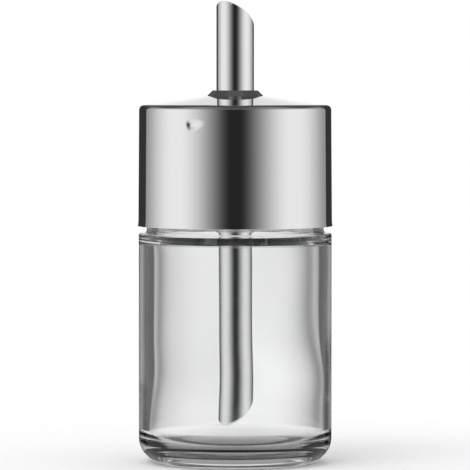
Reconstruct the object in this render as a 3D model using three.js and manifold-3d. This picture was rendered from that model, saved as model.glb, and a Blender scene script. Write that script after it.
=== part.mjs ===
// Sugar dispenser with a hinged flap: a glass jar, a steel lid with a slanted spout tube, and a dip tube.
// Millimetres, +Z up, origin at the centre of the face that the jar stands on. The front is the -Y side.
import * as THREE from 'three';
import { mergeVertices } from 'three/addons/utils/BufferGeometryUtils.js';
import Module from 'manifold-3d';

const wasm = await Module();
wasm.setup();

// Counts of sides and steps
const LARGE_SIDES = 48;
const TUBE_SIDES = 36;
const PIN_SIDES = 20;
const NUT_SIDES = 6;
const FLARE_STEPS = 3;
const CORNER_STEPS = 5;
const SMALL_CORNER_STEPS = 3;
const BASE_CORNER_STEPS = 8;
const TAPER_STEPS = 5;
const LUG_SIDES = 20;
const LUG_RINGS = 12;

// Running and seating clearances
const FIT_GAP = 0.1;
const PIN_GAP = 0.06;
const LOOSE_GAP = 0.3;
const CUT_OVERRUN = 2;

// Glass jar
const JAR_RADIUS = 30.9;
const SHOULDER_HEIGHT = 73.7;
const SHOULDER_CORNER = 0.7;
const BASE_CORNER = 7.7;
const BASE_CORNER_POWER = 1.83;
const STAND_RING_WIDTH = 6;
const PUSH_UP_DEPTH = 0.9;
const FLOOR_THICKNESS = 5.9;
const FLOOR_CORNER = 6.6;
const LOWER_WALL = 2.8;
const UPPER_WALL = 4.3;
const WALL_TAPER_HEIGHT = 35.5;
const INNER_SHOULDER_DROP = 4.4;
const INNER_SHOULDER_RISE = 3.4;
const NECK_STEP = 2.6;
const NECK_WALL = 2.9;
const NECK_FILLET = 0.6;
const LIP_BELOW_LID_CORNER = 3.08;
const LIP_CORNER = 0.5;

// Interrupted rib round the neck, whose gaps let the lid's lugs pass and whose underside then holds them
const RIB_PROUD = 1.05;
const RIB_HEIGHT = 1.05;
const RIB_CHAMFER = 0.35;
const RIB_BELOW_LIP = 0.3;
const RIB_ROOT = 0.5;
const RIB_GAP_WIDTH = 7.6;
const STOP_WIDTH = 1.6;
const STOP_HEIGHT = 2.6;

// Steel lid
const RIM_ABOVE_SHOULDER = 2.2;
const RIM_OVERHANG = 0.12;
const LID_SIDE_HEIGHT = 37.98;
const LID_SIDE_TAPER = 0.27;
const LID_CORNER = 1.5;
const LID_WALL = 0.75;
const CONE_SLOPE = THREE.MathUtils.degToRad(9.09);
const RIM_FLARE = 0.17;
const RIM_FLARE_HEIGHT = 2;

// Lugs pressed into the lid's side
const LUG_COUNT = 3;
const FIRST_LUG_AZIMUTH = THREE.MathUtils.degToRad(245);
const LUG_TILT = THREE.MathUtils.degToRad(7);
const LUG_WIDTH = 6.5;
const LUG_HEIGHT = 3.2;
const LUG_DEPTH = 1.45;
const LUG_SKIN = 0.45;
const LUG_CLEAR_OF_RIB = 0.1;
const LOCK_TURN = THREE.MathUtils.degToRad(60);

// Gasket and sealing disc
const GASKET_HEIGHT = 1.4;
const GASKET_OVERHANG = 0.6;
const DISC_EDGE = 0.5;
const DISC_WALL = 1.6;
const SPIGOT_WALL = 1.4;
const SPIGOT_GAP = 0.5;
const SPIGOT_DEPTH = 3.8;
const BOSS_WALL = 4.7;

// Spout tube and the dip tube pushed into it
const SPOUT_RADIUS = 6;
const SPOUT_WALL = 0.5;
const SPOUT_LENGTH_BELOW_LIP = 37.6;
const MOUTH_ABOVE_LID = 29.06;
const MOUTH_SLOPE = THREE.MathUtils.degToRad(38.4);
const MOUTH_AZIMUTH = THREE.MathUtils.degToRad(52);
const DIP_FIT = 0.15;
const DIP_WALL = 0.5;
const DIP_OVERLAP = 24;
const DIP_SLOPE = THREE.MathUtils.degToRad(41.6);
const DIP_ABOVE_FLOOR = 11.55;

// Ferrule, nut and washer that clamp the tube to the lid
const FERRULE_FLANGE = 2.9;
const FERRULE_TOP_WALL = 1.2;
const FERRULE_FOOT = 0.12;
const FERRULE_CHAMFER = 0.3;
const SLEEVE_WALL = 1.8;
const SLEEVE_END = 1;
const NUT_HEIGHT = 4;
const NUT_WALL = 2.1;
const WASHER_HEIGHT = 1;
const WASHER_WALL = 3.9;

// Flap, its pin and its bracket, measured in the plane of the mouth
const FLAP_THICKNESS = 0.45;
const FLAP_RECESS = 0.2;
const FLAP_SIDE_GAP = 0.35;
const FLAP_END_GAP = 0.47;
const TONGUE_WIDTH = 3.2;
const TONGUE_LENGTH = 1.2;
const PIN_RADIUS = 0.4;
const PIN_DEPTH = 1;
const PIN_FROM_WALL = 1.45;
const KNUCKLE_RADIUS = 0.8;
const EAR_THICKNESS = 0.6;
const EAR_RADIUS = 0.85;
const EAR_TOE_REACH = 2.4;
const EAR_TOE_HEIGHT = 0.6;
const BRACKET_DEPTH = 2.9;
const BRACKET_FLOOR = 0.8;

// Heights and radii that follow from the sizes above
const rimHeight = SHOULDER_HEIGHT + RIM_ABOVE_SHOULDER;
const lidCornerHeight = rimHeight + LID_SIDE_HEIGHT;
const lidBottomRadius = JAR_RADIUS + RIM_OVERHANG;
const lidTopRadius = lidBottomRadius - LID_SIDE_TAPER;
const coneRise = Math.tan(CONE_SLOPE);
const coneWall = LID_WALL / Math.cos(CONE_SLOPE);
const lipHeight = lidCornerHeight - LIP_BELOW_LID_CORNER;
const neckRadius = JAR_RADIUS - NECK_STEP;
const neckBore = neckRadius - NECK_WALL;
const upperBore = JAR_RADIUS - UPPER_WALL;
const lowerBore = JAR_RADIUS - LOWER_WALL;
const gasketTop = lipHeight + GASKET_HEIGHT;
const gasketRadius = neckRadius + GASKET_OVERHANG;
const ribTop = lipHeight - RIB_BELOW_LIP;
const ribCrest = neckRadius + RIB_PROUD;
const sleeveBore = SPOUT_RADIUS + FIT_GAP;
const sleeveRadius = sleeveBore + SLEEVE_WALL;
const ferruleRadius = SPOUT_RADIUS + FERRULE_FLANGE;
const ferruleTopRadius = SPOUT_RADIUS + FERRULE_TOP_WALL;
const washerRadius = sleeveRadius + WASHER_WALL;
const bossRadius = sleeveRadius + BOSS_WALL;
const spoutBore = SPOUT_RADIUS - SPOUT_WALL;
const dipRadius = spoutBore - DIP_FIT;
const mouthHeight = lidCornerHeight + MOUTH_ABOVE_LID;
const spoutBottom = lipHeight - SPOUT_LENGTH_BELOW_LIP;
const dipCutHeight = FLOOR_THICKNESS + DIP_ABOVE_FLOOR;

const glass = new THREE.MeshStandardMaterial({ color: 0xdfe3e4, roughness: 0.03, metalness: 0 });
const polishedSteel = new THREE.MeshStandardMaterial({ color: 0xc9cacb, roughness: 0.12, metalness: 1 });
const turnedSteel = new THREE.MeshStandardMaterial({ color: 0xb4b6b8, roughness: 0.3, metalness: 1 });
const silicone = new THREE.MeshStandardMaterial({ color: 0xe4e4e0, roughness: 0.6, metalness: 0 });
const plastic = new THREE.MeshStandardMaterial({ color: 0x2b2c2e, roughness: 0.45, metalness: 0 });

// A closed mesh as a solid that can be cut and joined
function toSolid(geometry) {
  const bare = geometry.clone();
  bare.deleteAttribute('normal');
  bare.deleteAttribute('uv');
  const merged = mergeVertices(bare);
  const index = merged.getIndex().array;
  const triangles = [];
  for (let i = 0; i < index.length; i += 3) {
    const [a, b, c] = [index[i], index[i + 1], index[i + 2]];
    if (a !== b && b !== c && c !== a) triangles.push(a, b, c);
  }
  const vertProperties = new Float32Array(merged.getAttribute('position').array);
  const triVerts = new Uint32Array(triangles);
  return new wasm.Manifold(new wasm.Mesh({ numProp: 3, vertProperties, triVerts }));
}

function toGeometry(solid) {
  const mesh = solid.getMesh();
  const geometry = new THREE.BufferGeometry();
  const positions = new Float32Array(mesh.vertProperties);
  geometry.setAttribute('position', new THREE.BufferAttribute(positions, mesh.numProp));
  geometry.setIndex(new THREE.BufferAttribute(new Uint32Array(mesh.triVerts), 1));
  geometry.computeVertexNormals();
  return geometry;
}

// An outline of [radius, height] points turned round the Z axis
function turned(outline, sides) {
  const points = outline.map(([radius, height]) => new THREE.Vector2(radius, height));
  return new THREE.LatheGeometry(points, sides).rotateX(Math.PI / 2);
}

// A closed outline repeats its first point
function ring(outline, sides) {
  return turned([...outline, outline[0]], sides);
}

// Points of a round corner between two angles, counted from +radius towards +height
function roundCorner(radius, height, size, from, to, steps) {
  const points = [];
  for (let i = 0; i <= steps; i++) {
    const angle = from + (to - from) * i / steps;
    points.push([radius + size * Math.cos(angle), height + size * Math.sin(angle)]);
  }
  return points;
}

// Moves a shape that lies at the origin to a radius and a height, turned to an azimuth
function atAzimuth(geometry, azimuth, radius, height) {
  return geometry.translate(radius, 0, height).rotateZ(azimuth);
}

function lugAzimuth(number) {
  return FIRST_LUG_AZIMUTH + 2 * Math.PI * number / LUG_COUNT;
}

// The jar's outside from the stand ring up to the shoulder: the base corner is a superellipse
function jarOutside() {
  const ringRadius = JAR_RADIUS - BASE_CORNER;
  const points = [[0, PUSH_UP_DEPTH], [ringRadius - STAND_RING_WIDTH - PUSH_UP_DEPTH, PUSH_UP_DEPTH]];
  points.push([ringRadius - STAND_RING_WIDTH, 0]);
  for (let i = 0; i <= BASE_CORNER_STEPS; i++) {
    const angle = Math.PI / 2 * i / BASE_CORNER_STEPS;
    const out = Math.sin(angle) ** (2 / BASE_CORNER_POWER);
    const down = Math.cos(angle) ** (2 / BASE_CORNER_POWER);
    points.push([ringRadius + BASE_CORNER * out, BASE_CORNER * (1 - down)]);
  }
  const cornerHeight = SHOULDER_HEIGHT - SHOULDER_CORNER;
  points.push(...roundCorner(JAR_RADIUS - SHOULDER_CORNER, cornerHeight, SHOULDER_CORNER,
    0, Math.PI / 2, SMALL_CORNER_STEPS));
  return points;
}

// The neck's outside, from its fillet on the shoulder to the middle of the lip
function neckOutside() {
  const fillet = roundCorner(neckRadius + NECK_FILLET, SHOULDER_HEIGHT + NECK_FILLET, NECK_FILLET,
    1.5 * Math.PI, Math.PI, SMALL_CORNER_STEPS);
  const lip = roundCorner(neckRadius - LIP_CORNER, lipHeight - LIP_CORNER, LIP_CORNER,
    0, Math.PI / 2, SMALL_CORNER_STEPS);
  return [...fillet, ...lip];
}

// The jar's inside, from the lip down to the floor: the wall is thickest below the shoulder
function jarInside() {
  const points = roundCorner(neckBore + LIP_CORNER, lipHeight - LIP_CORNER, LIP_CORNER,
    Math.PI / 2, Math.PI, SMALL_CORNER_STEPS);
  const shoulderTop = SHOULDER_HEIGHT - INNER_SHOULDER_DROP + INNER_SHOULDER_RISE;
  for (let i = 0; i <= TAPER_STEPS; i++) {
    const share = i / TAPER_STEPS;
    const eased = (1 - Math.cos(Math.PI * share)) / 2;
    points.push([neckBore + (upperBore - neckBore) * eased, shoulderTop - INNER_SHOULDER_RISE * share]);
  }
  const taperBottom = FLOOR_THICKNESS + FLOOR_CORNER;
  for (let i = TAPER_STEPS; i > 0; i--) {
    const share = i / TAPER_STEPS;
    const eased = 1 - (1 - share) ** 2;
    points.push([lowerBore - (lowerBore - upperBore) * eased, taperBottom + WALL_TAPER_HEIGHT * share]);
  }
  points.push(...roundCorner(lowerBore - FLOOR_CORNER, taperBottom, FLOOR_CORNER,
    0, -Math.PI / 2, CORNER_STEPS));
  points.push([0, FLOOR_THICKNESS]);
  return points;
}

function neckRibs() {
  const root = neckRadius - RIB_ROOT;
  const bottom = ribTop - RIB_HEIGHT;
  let ribs = toSolid(ring([
    [root, bottom],
    [ribCrest, bottom],
    [ribCrest, ribTop - RIB_CHAMFER],
    [ribCrest - RIB_CHAMFER, ribTop],
    [root, ribTop],
  ], LARGE_SIDES));
  const lugHalfAngle = (LUG_WIDTH / 2 + LUG_SKIN) / neckRadius;
  const stopHalfAngle = STOP_WIDTH / 2 / neckRadius;
  const stopAngle = LOCK_TURN + lugHalfAngle + stopHalfAngle;
  for (let i = 0; i < LUG_COUNT; i++) {
    const gap = new THREE.BoxGeometry(JAR_RADIUS, RIB_GAP_WIDTH, RIB_HEIGHT + CUT_OVERRUN);
    atAzimuth(gap, lugAzimuth(i), neckRadius, ribTop - RIB_HEIGHT / 2);
    ribs = ribs.subtract(toSolid(gap));
  }
  for (let i = 0; i < LUG_COUNT; i++) {
    const stop = new THREE.BoxGeometry(RIB_ROOT + RIB_PROUD, STOP_WIDTH, STOP_HEIGHT + RIB_HEIGHT / 2);
    const stopRadius = ribCrest - RIB_CHAMFER - (RIB_ROOT + RIB_PROUD) / 2;
    const stopMiddle = bottom + RIB_HEIGHT / 2 - (STOP_HEIGHT + RIB_HEIGHT / 2) / 2;
    atAzimuth(stop, lugAzimuth(i) - stopAngle, stopRadius, stopMiddle);
    ribs = ribs.add(toSolid(stop));
  }
  return ribs;
}

function glassJar() {
  const body = turned([...jarOutside(), ...neckOutside(), ...jarInside()], LARGE_SIDES);
  return toGeometry(toSolid(body).add(neckRibs()));
}

// The side tapers from the rim to the corner, and the rim flares over its last stretch
function lidSideRadius(height) {
  const above = height - rimHeight;
  const taper = lidBottomRadius + (lidTopRadius - lidBottomRadius) * above / LID_SIDE_HEIGHT;
  const flareShare = Math.max(0, 1 - above / RIM_FLARE_HEIGHT);
  return taper + RIM_FLARE * flareShare ** 2;
}

function coneHeight(radius) {
  return lidCornerHeight + (lidTopRadius - radius) * coneRise;
}

// One skin of the lid, set in by a wall: rim, flared side, rounded corner and cone up to the axis
function lidSkin(inset, rimDrop) {
  const corner = LID_CORNER - inset;
  const tangent = LID_CORNER * Math.tan((Math.PI / 2 - CONE_SLOPE) / 2);
  const points = [[0, rimHeight - rimDrop], [lidSideRadius(rimHeight) - inset, rimHeight - rimDrop]];
  for (let i = 1; i <= FLARE_STEPS; i++) {
    const height = rimHeight + RIM_FLARE_HEIGHT * i / FLARE_STEPS;
    points.push([lidSideRadius(height) - inset, height]);
  }
  const centreRadius = lidTopRadius - LID_CORNER;
  points.push(...roundCorner(centreRadius, lidCornerHeight - tangent, corner,
    0, Math.PI / 2 - CONE_SLOPE, CORNER_STEPS));
  points.push([0, coneHeight(0) - inset / Math.cos(CONE_SLOPE)]);
  return turned(points, LARGE_SIDES);
}

// An oval lug lying on the lid's side, larger than the pressed dent by a skin and a wall
function lugOval(azimuth, skin, wall) {
  const height = ribTop - RIB_HEIGHT - LUG_CLEAR_OF_RIB - LUG_HEIGHT / 2;
  const oval = new THREE.SphereGeometry(1, LUG_SIDES, LUG_RINGS);
  oval.scale(LUG_DEPTH + wall, LUG_WIDTH / 2 + skin, LUG_HEIGHT / 2 + skin).rotateX(LUG_TILT);
  return toSolid(atAzimuth(oval, azimuth, lidSideRadius(height), height));
}

function lidShell() {
  let outside = toSolid(lidSkin(0, 0));
  let inside = toSolid(lidSkin(LID_WALL, CUT_OVERRUN));
  for (let i = 0; i < LUG_COUNT; i++) {
    outside = outside.subtract(lugOval(lugAzimuth(i), 0, 0));
    inside = inside.subtract(lugOval(lugAzimuth(i), LUG_SKIN, LID_WALL));
  }
  const holeRadius = sleeveRadius + FIT_GAP;
  const holeTop = coneHeight(0) + CUT_OVERRUN;
  const hole = turned([
    [0, gasketTop],
    [holeRadius, gasketTop],
    [holeRadius, holeTop],
    [0, holeTop],
  ], TUBE_SIDES);
  return toGeometry(outside.subtract(inside).subtract(toSolid(hole)));
}

function lidGasket() {
  const bore = neckBore - SPIGOT_GAP + FIT_GAP;
  const chamfer = GASKET_HEIGHT / 4;
  return ring([
    [bore, lipHeight],
    [gasketRadius - chamfer, lipHeight],
    [gasketRadius, lipHeight + chamfer],
    [gasketRadius, gasketTop - chamfer],
    [gasketRadius - chamfer, gasketTop],
    [bore, gasketTop],
  ], LARGE_SIDES);
}

function discTop(radius) {
  return coneHeight(radius) - coneWall - LOOSE_GAP;
}

const bossBottom = discTop(bossRadius) - 2 * DISC_WALL;
const nutTop = bossBottom - WASHER_HEIGHT;
const nutBottom = nutTop - NUT_HEIGHT;

// The disc follows the cone from below, with a spigot into the neck and a flat boss for the nut
function sealingDisc() {
  const spigotRadius = neckBore - SPIGOT_GAP;
  const spigotInside = spigotRadius - SPIGOT_WALL;
  const spigotBottom = lipHeight - SPIGOT_DEPTH;
  const discRadius = lidTopRadius - LID_CORNER;
  const holeRadius = sleeveRadius + LOOSE_GAP;
  return ring([
    [holeRadius, bossBottom],
    [bossRadius, bossBottom],
    [bossRadius, discTop(bossRadius) - DISC_WALL],
    [spigotInside, discTop(spigotInside) - DISC_WALL],
    [spigotInside, spigotBottom],
    [spigotRadius, spigotBottom],
    [spigotRadius, gasketTop],
    [discRadius, gasketTop],
    [discRadius, discTop(discRadius) - DISC_EDGE],
    [discRadius - DISC_EDGE, discTop(discRadius - DISC_EDGE)],
    [holeRadius, discTop(holeRadius)],
  ], LARGE_SIDES);
}

// The head sits on the cone, and the sleeve runs down through the lid and the disc
function tubeCollar() {
  const seat = radius => coneHeight(radius) + PIN_GAP;
  const headTop = seat(ferruleRadius) + FERRULE_FOOT + ferruleRadius - ferruleTopRadius;
  return ring([
    [sleeveBore, nutBottom - SLEEVE_END],
    [sleeveRadius, nutBottom - SLEEVE_END],
    [sleeveRadius, seat(sleeveRadius)],
    [ferruleRadius, seat(ferruleRadius)],
    [ferruleRadius, seat(ferruleRadius) + FERRULE_FOOT],
    [ferruleTopRadius, headTop],
    [sleeveBore + FERRULE_CHAMFER, headTop],
    [sleeveBore, headTop - FERRULE_CHAMFER],
  ], TUBE_SIDES);
}

function clampNut() {
  const outline = new THREE.Shape();
  const cornerRadius = (sleeveRadius + NUT_WALL) / Math.cos(Math.PI / NUT_SIDES);
  outline.moveTo(cornerRadius, 0);
  for (let i = 1; i < NUT_SIDES; i++) {
    const angle = 2 * Math.PI * i / NUT_SIDES;
    outline.lineTo(cornerRadius * Math.cos(angle), cornerRadius * Math.sin(angle));
  }
  const bore = new THREE.Path();
  bore.absarc(0, 0, sleeveRadius + FIT_GAP, 0, 2 * Math.PI, true);
  outline.holes.push(bore);
  const settings = { depth: NUT_HEIGHT, bevelEnabled: false, curveSegments: TUBE_SIDES };
  return new THREE.ExtrudeGeometry(outline, settings).translate(0, 0, nutBottom);
}

function nutWasher() {
  const bore = sleeveRadius + LOOSE_GAP;
  return ring([
    [bore, nutTop],
    [washerRadius, nutTop],
    [washerRadius, bossBottom],
    [bore, bossBottom],
  ], TUBE_SIDES);
}

// Everything on one side of a slanted plane through the axis, as a block to cut with
function slantedBlock(size, slope, azimuth, height, side) {
  const block = new THREE.BoxGeometry(size, size, size).translate(0, 0, side * size / 2);
  return toSolid(block.rotateY(slope).rotateZ(azimuth).translate(0, 0, height));
}

function tubeWall(radius, wall, bottom, top) {
  const bore = radius - wall;
  return toSolid(ring([[bore, bottom], [radius, bottom], [radius, top], [bore, top]], TUBE_SIDES));
}

function spoutTube() {
  const top = mouthHeight + 2 * SPOUT_RADIUS;
  const tube = tubeWall(SPOUT_RADIUS, SPOUT_WALL, spoutBottom, top);
  const cut = slantedBlock(8 * SPOUT_RADIUS, MOUTH_SLOPE, MOUTH_AZIMUTH, mouthHeight, 1);
  return toGeometry(tube.subtract(cut));
}

// The lower cut mirrors the mouth: the long side is the same
function dipTube() {
  const tube = tubeWall(dipRadius, DIP_WALL, 0, spoutBottom + DIP_OVERLAP);
  const cut = slantedBlock(8 * dipRadius, -DIP_SLOPE, MOUTH_AZIMUTH, dipCutHeight, -1);
  return toGeometry(tube.subtract(cut));
}

// In the mouth's own frame x runs down the slope, y along the pin and z out of the mouth
const pinX = (PIN_DEPTH * Math.sin(MOUTH_SLOPE) + PIN_FROM_WALL - spoutBore) / Math.cos(MOUTH_SLOPE);
const pinZ = -PIN_DEPTH;

// A round bar along y through the pin's place
function hingeBar(radius, length) {
  return new THREE.CylinderGeometry(radius, radius, length, PIN_SIDES).translate(pinX, 0, pinZ);
}

function flapPin() {
  return hingeBar(PIN_RADIUS, TONGUE_WIDTH + 2 * (PIN_GAP + EAR_THICKNESS));
}

// The plate fills the bore's oval with a gap, and a narrow tongue joins it to the knuckle
function flap() {
  const endX = spoutBore / Math.cos(MOUTH_SLOPE) - FLAP_END_GAP;
  const halfWidth = spoutBore - FLAP_SIDE_GAP;
  const middleX = FLAP_SIDE_GAP / 2;
  const halfLength = endX - middleX;
  const stepX = pinX + TONGUE_LENGTH;
  const startAngle = Math.acos((stepX - middleX) / halfLength);
  const outline = new THREE.Shape();
  outline.moveTo(pinX, -TONGUE_WIDTH / 2);
  outline.lineTo(stepX, -TONGUE_WIDTH / 2);
  for (let i = 0; i <= TUBE_SIDES; i++) {
    const angle = startAngle * (2 * i / TUBE_SIDES - 1);
    outline.lineTo(middleX + halfLength * Math.cos(angle), halfWidth * Math.sin(angle));
  }
  outline.lineTo(stepX, TONGUE_WIDTH / 2);
  outline.lineTo(pinX, TONGUE_WIDTH / 2);
  const plate = new THREE.ExtrudeGeometry(outline, { depth: FLAP_THICKNESS, bevelEnabled: false });
  plate.translate(0, 0, -FLAP_RECESS - FLAP_THICKNESS);
  const knuckle = toSolid(hingeBar(KNUCKLE_RADIUS, TONGUE_WIDTH));
  const hole = toSolid(hingeBar(PIN_RADIUS + FIT_GAP, TONGUE_WIDTH + CUT_OVERRUN));
  return toGeometry(toSolid(plate).add(knuckle).subtract(hole));
}

// Two ears on a floor. The floor and the ears' backs are cut to the bore, and the toes stop the flap
function flapBracket() {
  const toeTop = -FLAP_RECESS - FLAP_THICKNESS - FIT_GAP;
  const backX = pinX - spoutBore;
  const outline = new THREE.Shape();
  outline.moveTo(backX, pinZ);
  outline.lineTo(backX, -BRACKET_DEPTH);
  outline.lineTo(pinX + EAR_RADIUS, -BRACKET_DEPTH);
  outline.lineTo(pinX + EAR_TOE_REACH, toeTop - EAR_TOE_HEIGHT);
  outline.lineTo(pinX + EAR_TOE_REACH, toeTop);
  outline.absarc(pinX, pinZ, EAR_RADIUS, Math.asin((toeTop - pinZ) / EAR_RADIUS), Math.PI, false);
  const earInside = TONGUE_WIDTH / 2 + PIN_GAP;
  const earOutside = earInside + EAR_THICKNESS;
  const settings = { depth: 2 * earOutside, bevelEnabled: false };
  const block = new THREE.ExtrudeGeometry(outline, settings);
  block.rotateX(Math.PI / 2).translate(0, earOutside, 0);
  const slotHeight = BRACKET_DEPTH + KNUCKLE_RADIUS;
  const slotLength = 2 * (spoutBore + EAR_TOE_REACH);
  const slot = new THREE.BoxGeometry(slotLength, 2 * earInside, slotHeight);
  slot.translate(pinX, 0, slotHeight / 2 - BRACKET_DEPTH + BRACKET_FLOOR);
  const hole = toSolid(hingeBar(PIN_RADIUS + PIN_GAP, 2 * earOutside + CUT_OVERRUN));
  const bore = turned([
    [0, -2 * spoutBore],
    [spoutBore - FIT_GAP, -2 * spoutBore],
    [spoutBore - FIT_GAP, 2 * spoutBore],
    [0, 2 * spoutBore],
  ], TUBE_SIDES);
  const boreInMouthFrame = toSolid(bore.rotateZ(-MOUTH_AZIMUTH).rotateY(-MOUTH_SLOPE));
  return toGeometry(toSolid(block).subtract(toSolid(slot)).subtract(hole).intersect(boreInMouthFrame));
}

function named(name, geometry, material) {
  const mesh = new THREE.Mesh(geometry, material);
  mesh.name = name;
  return mesh;
}

const dispenser = new THREE.Group();
dispenser.add(named('glass_jar', glassJar(), glass));
dispenser.add(named('lid_gasket', lidGasket(), silicone));

const lid = new THREE.Group();
lid.add(named('lid_shell', lidShell(), polishedSteel));
lid.add(named('sealing_disc', sealingDisc(), plastic));
lid.add(named('tube_collar', tubeCollar(), polishedSteel));
lid.add(named('clamp_nut', clampNut(), turnedSteel));
lid.add(named('nut_washer', nutWasher(), silicone));
lid.add(named('spout_tube', spoutTube(), polishedSteel));
lid.add(named('dip_tube', dipTube(), polishedSteel));
dispenser.add(lid);

const mouth = new THREE.Group();
mouth.position.z = mouthHeight;
mouth.rotation.set(0, MOUTH_SLOPE, MOUTH_AZIMUTH, 'ZYX');
mouth.add(named('flap_bracket', flapBracket(), turnedSteel));
mouth.add(named('flap_pin', flapPin(), turnedSteel));
mouth.add(named('flap', flap(), polishedSteel));
lid.add(mouth);

export default dispenser;
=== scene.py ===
"""A glass sugar dispenser with a steel lid, a slanted spout and a hinged flap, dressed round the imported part.

The file is laid out as an add-on and is run as a script. Lengths are metres, +Z is up and the front is -Y.
"""

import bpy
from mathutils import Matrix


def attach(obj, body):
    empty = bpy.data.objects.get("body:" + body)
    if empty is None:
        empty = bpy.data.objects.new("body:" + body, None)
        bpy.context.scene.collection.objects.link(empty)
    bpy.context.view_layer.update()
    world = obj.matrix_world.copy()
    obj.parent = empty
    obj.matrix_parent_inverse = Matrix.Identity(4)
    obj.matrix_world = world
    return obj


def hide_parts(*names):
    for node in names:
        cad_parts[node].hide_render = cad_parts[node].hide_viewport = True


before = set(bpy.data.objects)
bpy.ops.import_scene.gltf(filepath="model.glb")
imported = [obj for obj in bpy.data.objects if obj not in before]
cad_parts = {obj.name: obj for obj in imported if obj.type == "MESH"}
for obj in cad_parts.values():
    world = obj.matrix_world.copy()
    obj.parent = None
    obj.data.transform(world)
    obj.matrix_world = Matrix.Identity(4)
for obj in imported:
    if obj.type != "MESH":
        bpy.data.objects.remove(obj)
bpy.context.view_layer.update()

import math

import bmesh
import bpy
from bpy.props import FloatProperty, FloatVectorProperty, PointerProperty
from mathutils import Matrix, Vector, noise

bl_info = {
    "name": "Sugar Dispenser",
    "version": (1, 0, 0),
    "blender": (4, 5, 0),
    "location": "View3D > Sidebar > Dispenser",
    "description": "Builds a glass sugar dispenser with a steel lid, a slanted spout and a hinged flap",
    "category": "Add Mesh",
}

MM = 0.001
AXIS = Vector((0, 0, 1))
# Points that lie closer together than this are one
MERGE = 1e-7

# Sectors that a turned piece is made of, and steps once round the axis
SECTORS = 8
JAR_STEPS = 288
TUBE_STEPS = 128
RING_STEPS = 192
PIN_STEPS = 48
# Steps of the lid across a lug and from one lug to the next
LUG_STEPS = 72
PLAIN_STEPS = 102
# Steps round the flap's oval and round the floor
OVAL_STEPS = 128

# Lugs pressed into the lid, which pass the gaps in the neck's rib
LUG_AZIMUTHS = [math.radians(degrees) for degrees in (245, 365, 485)]
LUG_HEIGHT = 107.8 * MM
LUG_TILT = math.radians(7)
LUG_SECTOR = math.radians(18)
# How far the lid is finely cut above and below its lugs
LUG_BAND = 2.7 * MM


# Sizes and colours


def length(name, description, millimetres):
    """A size that is kept in metres and shown in the scene's unit."""
    return FloatProperty(name=name, description=description, default=millimetres * MM, unit="LENGTH", precision=5)


def angle(name, description, degrees):
    """An angle that is kept in radians and shown in degrees."""
    return FloatProperty(name=name, description=description, default=math.radians(degrees), unit="ROTATION")


def colour(name, description, *rgb):
    """A colour in linear light."""
    return FloatVectorProperty(name=name, description=description, default=rgb, subtype="COLOR", min=0, max=1)


class JarSizes(bpy.types.PropertyGroup):
    """Sizes of the glass jar."""

    radius: length("Radius", "Outside radius of the jar's body", 30.9)
    shoulder_height: length("Shoulder height", "Height of the flat shoulder", 73.7)
    shoulder_corner: length("Shoulder corner", "Rounding of the shoulder's edge", 0.7)
    base_corner: length("Base corner", "Reach of the rounding between the foot and the side", 7.7)
    stand_ring: length("Stand ring", "Width of the flat ring that the jar stands on", 6)
    push_up: length("Push-up", "Depth of the hollow under the base", 0.9)
    floor: length("Floor", "Thickness of the jar's floor", 5.9)
    floor_corner: length("Floor corner", "Rounding between the floor and the wall inside", 5)
    lower_wall: length("Lower wall", "Wall thickness just above the floor", 2.75)
    upper_wall: length("Upper wall", "Wall thickness below the shoulder", 4.35)
    taper_bottom: length("Taper bottom", "Height at which the wall begins to thicken upwards", 17)
    taper_top: length("Taper top", "Height from which the wall keeps its upper thickness", 44)
    neck_radius: length("Neck radius", "Outside radius of the neck", 28.3)
    neck_wall: length("Neck wall", "Wall thickness of the neck", 3.3)
    lip_height: length("Lip height", "Height of the lip that the gasket lies on", 110.8)
    neck_fillet: length("Neck fillet", "Rounding between the shoulder and the neck", 1.2)
    rib_top: length("Rib top", "Height of the top of the neck's rib", 110.5)
    rib_height: length("Rib height", "Height of the rib that the lid's lugs lock under", 1.05)
    rib_proud: length("Rib proud", "How far the rib stands out from the neck", 1.05)
    rib_gap: length("Rib gap", "Width of each gap that lets a lug pass", 7.6)
    stop_width: length("Stop width", "Width of each stop under the rib", 1.6)
    stop_height: length("Stop height", "How far each stop reaches down from the rib", 2.1)
    stop_proud: length("Stop proud", "How far each stop stands out from the neck", 0.7)
    stop_turn: angle("Stop turn", "Angle from a gap's middle to the stop", 69.1)
    inner_shift: length("Inner shift", "How far the hollow lies to the right of the outside", 0.25)
    swell_shift: length("Swell shift", "How much further to the right it lies a third of the way up", 0.6)
    wave: length("Wave", "How far the inside of the pressed wall waves in and out", 0.12)


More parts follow.
